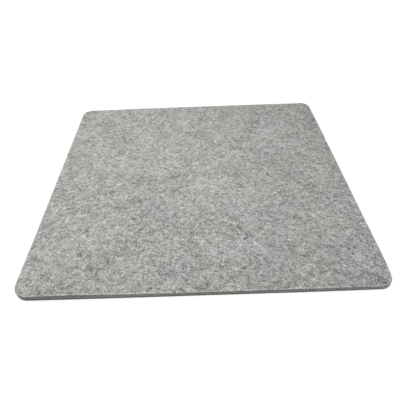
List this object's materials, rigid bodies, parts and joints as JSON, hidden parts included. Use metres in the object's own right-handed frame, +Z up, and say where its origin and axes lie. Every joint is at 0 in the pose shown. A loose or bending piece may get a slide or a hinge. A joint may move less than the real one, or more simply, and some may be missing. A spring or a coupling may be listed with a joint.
{
  "type": "wool pressing mat",
  "caption": "Square slab of heathered grey wool felt with rounded corners and a soft die-cut edge, laid on a table as a springy, heat-holding base for pressing fabric with an iron.",
  "frame": {"origin": "middle of the underside, on the table that the mat lies on", "axes": "+Z up, out of the pressing face; +X along the edge nearest the viewer, to the right; +Y away from the viewer"},
  "size_m": [0.4318, 0.4318, 0.0063],
  "materials": {
    "heather_felt": "needled wool felt, charcoal and pale grey fibres mixed to a warm mid grey, fully matt with a short nap",
    "core_felt": "needled wool felt with more undyed fibre than the faces, matt, seen only at the cut edge"
  },
  "bodies": {
    "root": {"bottom_felt_ply": "heather_felt", "core_felt_web": "core_felt", "top_felt_ply": "heather_felt"}
  },
  "joints": []
}
